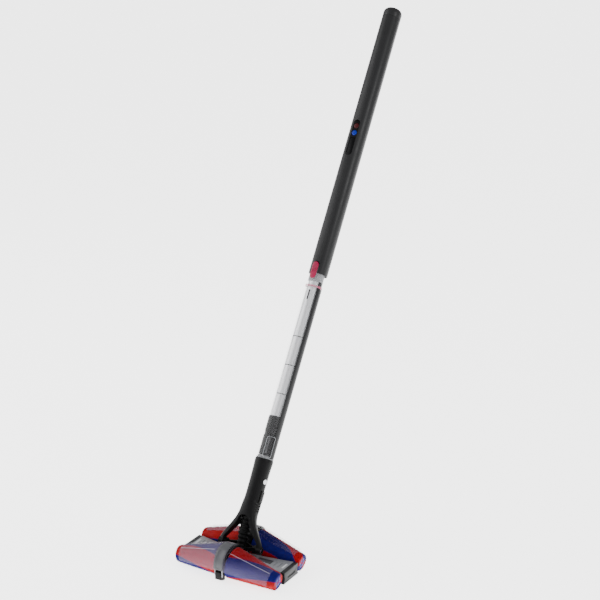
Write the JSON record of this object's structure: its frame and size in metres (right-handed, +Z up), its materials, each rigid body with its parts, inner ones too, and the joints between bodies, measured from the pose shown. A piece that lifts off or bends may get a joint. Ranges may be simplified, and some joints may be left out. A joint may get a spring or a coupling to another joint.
{
  "type": "carpet sweeper",
  "caption": "Slim cordless floor sweeper: a low gimballed head with soft cone-shaped rollers and clear visors, a forked neck, a clear dust tube and a long round handle.",
  "frame": {"origin": "middle of the sweeping head's flat underside, 4 mm above the floor it rolls on", "axes": "+X along the rollers to the right as the user sees it, +Y back towards the user, +Z up; the wand leans back 32 degrees at rest"},
  "size_m": [0.2252, 0.6809, 0.9963],
  "materials": {
    "graphite": "matt, dark charcoal",
    "black_plastic": "satin black",
    "head_grey": "satin grey",
    "clear_plastic": "clear, polished",
    "pile_fabric": "soft pile",
    "core_plastic": "moulded",
    "red_plastic": "satin red",
    "blue_plastic": "satin blue",
    "mesh_metal": "fine mesh",
    "steel": "brushed",
    "rubber": "matt rubber",
    "cell_wrap": "shrink wrap",
    "board_green": "solder mask",
    "seal_grey": "soft"
  },
  "bodies": {
    "head": {"base_tray": "black_plastic", "top_plate": "head_grey", "end_cap_left": "black_plastic", "end_cap_right": "black_plastic", "bridge_front": "head_grey", "bridge_rear": "head_grey", "roll_pin_front": "steel", "roll_pin_rear": "steel", "duct_bellows": "rubber", "visor_front_left": "clear_plastic", "visor_front_right": "clear_plastic", "visor_rear_left": "clear_plastic", "visor_rear_right": "clear_plastic", "brush_motor_front_left": "steel", "brush_motor_front_right": "steel", "brush_motor_rear_left": "steel", "brush_motor_rear_right": "steel"},
    "gimbal": {"gimbal_ring": "black_plastic", "pitch_pin_left": "steel", "pitch_pin_right": "steel"},
    "neck": {"neck_fork": "black_plastic"},
    "neck_button": {"head_release_button": "black_plastic"},
    "wand": {"handle_tube": "graphite", "handle_cap": "graphite", "handle_collar": "graphite", "mesh_shroud": "mesh_metal", "spine_rail": "graphite", "separator_cone": "graphite", "inlet_spigot": "graphite", "inlet_flap": "graphite", "control_bezel": "black_plastic", "control_board": "board_green", "display_lens": "clear_plastic", "suction_motor": "steel", "exhaust_filter": "seal_grey", "battery_cell_1": "cell_wrap", "battery_cell_2": "cell_wrap", "battery_cell_3": "cell_wrap"},
    "bin": {"clear_bin": "clear_plastic", "bin_seal": "seal_grey"},
    "catch": {"bin_catch": "red_plastic"},
    "power": {"power_button": "red_plastic"},
    "mode": {"mode_button": "blue_plastic"},
    "fan": {"impeller": "steel"},
    "roller_front_left": {"roller_core_front_left": "core_plastic", "pile_sleeve_front_left": "pile_fabric"},
    "roller_front_right": {"roller_core_front_right": "core_plastic", "pile_sleeve_front_right": "pile_fabric"},
    "roller_rear_left": {"roller_core_rear_left": "core_plastic", "pile_sleeve_rear_left": "pile_fabric"},
    "roller_rear_right": {"roller_core_rear_right": "core_plastic", "pile_sleeve_rear_right": "pile_fabric"},
    "castor_front": {"castor_yoke_front": "black_plastic"},
    "wheel_front": {"castor_wheel_front": "rubber"},
    "castor_rear": {"castor_yoke_rear": "black_plastic"},
    "wheel_rear": {"castor_wheel_rear": "rubber"},
    "castor_left": {"castor_yoke_left": "black_plastic"},
    "wheel_left": {"castor_wheel_left": "rubber"},
    "castor_right": {"castor_yoke_right": "black_plastic"},
    "wheel_right": {"castor_wheel_right": "rubber"}
  },
  "joints": [
    {"name": "neck_roll", "type": "hinge", "parent": "head", "child": "gimbal", "pos_m": [0, 0, 0.04], "axis": [0, 1, 0], "range_deg": [-8, 8]},
    {"name": "neck_pitch", "type": "hinge", "parent": "gimbal", "child": "neck", "pos_m": [0, 0, 0.04], "axis": [1, 0, 0], "range_deg": [-20, 34], "deforming": ["duct_bellows"]},
    {"name": "wand_pull", "type": "slide", "parent": "neck", "child": "wand", "axis": [0, 0.5299, 0.848], "range_m": [0, 0.15]},
    {"name": "bin_slide", "type": "slide", "parent": "wand", "child": "bin", "axis": [0, -0.5299, -0.848], "range_m": [0, 0.12]},
    {"name": "bin_catch_slide", "type": "slide", "parent": "wand", "child": "catch", "axis": [0, -0.5299, -0.848], "range_m": [0, 0.003], "stiffness_N_per_m": 300, "springref_m": -0.002},
    {"name": "power_press", "type": "slide", "parent": "wand", "child": "power", "axis": [0, 0.848, -0.5299], "range_m": [0, 0.001], "stiffness_N_per_m": 300, "springref_m": -0.001},
    {"name": "mode_press", "type": "slide", "parent": "wand", "child": "mode", "axis": [0, 0.848, -0.5299], "range_m": [0, 0.001], "stiffness_N_per_m": 300, "springref_m": -0.001},
    {"name": "neck_button_press", "type": "slide", "parent": "neck", "child": "neck_button", "axis": [-1, 0, 0], "range_m": [0, 0.0015], "stiffness_N_per_m": 300, "springref_m": -0.001},
    {"name": "fan_spin", "type": "hinge", "parent": "wand", "child": "fan", "pos_m": [0, 0.31424, 0.54289], "axis": [0, 0.5299, 0.848], "continuous": true},
    {"name": "roller_spin_front_left", "type": "hinge", "parent": "head", "child": "roller_front_left", "pos_m": [-0.0105, -0.043, 0.02691], "axis": [-0.9905, 0, -0.1373], "continuous": true},
    {"name": "roller_spin_front_right", "type": "hinge", "parent": "head", "child": "roller_front_right", "pos_m": [0.0105, -0.043, 0.02691], "axis": [0.9905, 0, -0.1373], "continuous": true},
    {"name": "roller_spin_rear_left", "type": "hinge", "parent": "head", "child": "roller_rear_left", "pos_m": [-0.0105, 0.043, 0.02691], "axis": [-0.9905, 0, -0.1373], "continuous": true},
    {"name": "roller_spin_rear_right", "type": "hinge", "parent": "head", "child": "roller_rear_right", "pos_m": [0.0105, 0.043, 0.02691], "axis": [0.9905, 0, -0.1373], "continuous": true},
    {"name": "castor_swivel_front", "type": "hinge", "parent": "head", "child": "castor_front", "pos_m": [0, -0.064, 0.004], "axis": [0, 0, 1], "continuous": true},
    {"name": "wheel_spin_front", "type": "hinge", "parent": "castor_front", "child": "wheel_front", "pos_m": [0, -0.0626, 0.001], "axis": [1, 0, 0], "continuous": true},
    {"name": "castor_swivel_rear", "type": "hinge", "parent": "head", "child": "castor_rear", "pos_m": [0, 0.064, 0.004], "axis": [0, 0, 1], "continuous": true},
    {"name": "wheel_spin_rear", "type": "hinge", "parent": "castor_rear", "child": "wheel_rear", "pos_m": [0, 0.0654, 0.001], "axis": [1, 0, 0], "continuous": true},
    {"name": "castor_swivel_left", "type": "hinge", "parent": "head", "child": "castor_left", "pos_m": [-0.08, 0, 0.004], "axis": [0, 0, 1], "continuous": true},
    {"name": "wheel_spin_left", "type": "hinge", "parent": "castor_left", "child": "wheel_left", "pos_m": [-0.08, 0.0014, 0.001], "axis": [1, 0, 0], "continuous": true},
    {"name": "castor_swivel_right", "type": "hinge", "parent": "head", "child": "castor_right", "pos_m": [0.08, 0, 0.004], "axis": [0, 0, 1], "continuous": true},
    {"name": "wheel_spin_right", "type": "hinge", "parent": "castor_right", "child": "wheel_right", "pos_m": [0.08, 0.0014, 0.001], "axis": [1, 0, 0], "continuous": true}
  ],
  "couplings": [
    {"joint": "bin_slide", "follows": "wand_pull", "ratio": 0.8}
  ]
}
